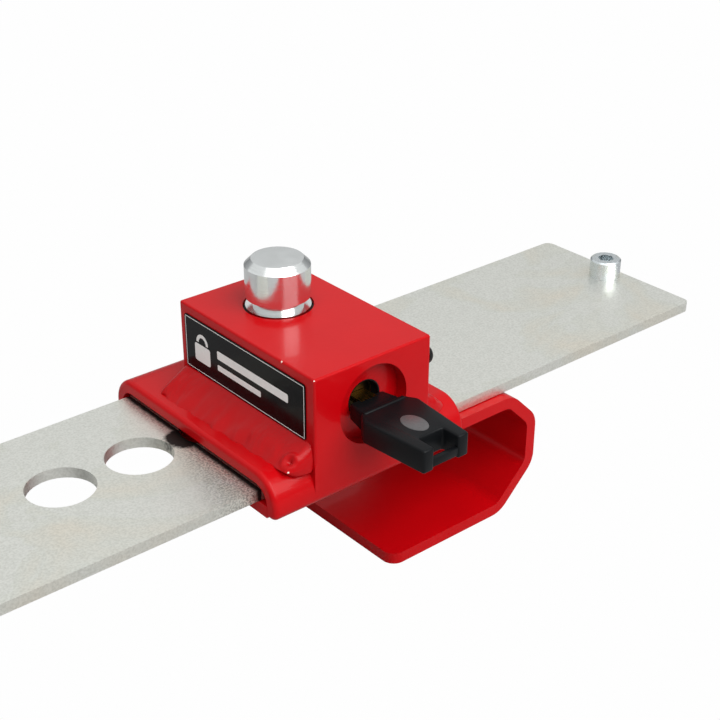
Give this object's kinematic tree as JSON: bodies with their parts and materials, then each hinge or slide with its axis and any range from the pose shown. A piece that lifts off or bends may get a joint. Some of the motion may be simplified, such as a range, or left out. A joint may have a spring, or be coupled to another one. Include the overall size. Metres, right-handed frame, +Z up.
{
  "type": "door bar lock",
  "caption": "Adjustable door bar lock: a flat perforated bar with an end hook, and a sliding keyed carriage with a hook and a locking plunger.",
  "frame": {"origin": "middle of the whole lock's footprint, on the surface that its two hooks stand on", "axes": "+X along the bar towards the stop screw, +Y away from the key, +Z up from the hooks to the plunger"},
  "size_m": [0.56, 0.1324, 0.1108],
  "materials": {
    "zinc_bar": "satin",
    "zinc_screw": "satin",
    "zinc_hook": "satin",
    "red_paint": "gloss",
    "red_weld": "gloss",
    "brass": "satin",
    "black_steel": "satin",
    "black_rubber": "matte",
    "steel_pin": "satin",
    "label": "gloss",
    "zinc_plunger": "bright",
    "brass_blade": "bright",
    "black_plastic": "satin",
    "grey_plastic": "satin"
  },
  "bodies": {
    "root": {"slide_bar": "zinc_bar", "stop_screw": "zinc_screw", "stop_washer": "zinc_screw", "stop_nut": "zinc_screw", "end_hook": "zinc_hook", "end_hook_weld_beads": "zinc_hook"},
    "carriage": {"sleeve_channel": "red_paint", "sliding_hook": "red_paint", "sleeve_weld_beads": "red_paint", "lock_block": "red_paint", "block_weld_beads": "red_weld", "front_seam_weld": "red_paint", "cylinder_body": "brass", "cylinder_set_screw": "black_steel", "side_screw": "black_steel", "plunger_ring": "black_rubber", "plunger_guide_pin": "steel_pin", "name_label": "label"},
    "plunger": {"plunger": "zinc_plunger"},
    "plug": {"key_plug": "brass", "plug_wafers": "brass", "drive_pin": "steel_pin", "plug_clip": "steel_pin"},
    "lock_bolt": {"lock_bolt": "steel_pin"},
    "key": {"key_blade": "brass_blade", "key_head": "black_plastic", "key_inlays": "grey_plastic"}
  },
  "joints": [
    {"name": "carriage_slide", "type": "slide", "parent": "root", "child": "carriage", "axis": [1, 0, 0], "range_m": [-0.09, 0]},
    {"name": "plunger_push", "type": "slide", "parent": "carriage", "child": "plunger", "axis": [0, 0, -1], "range_m": [0, 0.0173]},
    {"name": "key_turn", "type": "hinge", "parent": "carriage", "child": "plug", "pos_m": [0.1, -0.01225, 0.0756], "axis": [0, 1, 0], "range_deg": [0, 90.01]},
    {"name": "key_pull", "type": "slide", "parent": "plug", "child": "key", "axis": [0, -1, 0], "range_m": [0, 0.034]},
    {"name": "bolt_travel", "type": "slide", "parent": "carriage", "child": "lock_bolt", "axis": [0, 1, 0], "range_m": [0, 0.0027]}
  ],
  "couplings": [
    {"joint": "key_turn", "follows": "bolt_travel", "rad_per_m": 581.78}
  ]
}
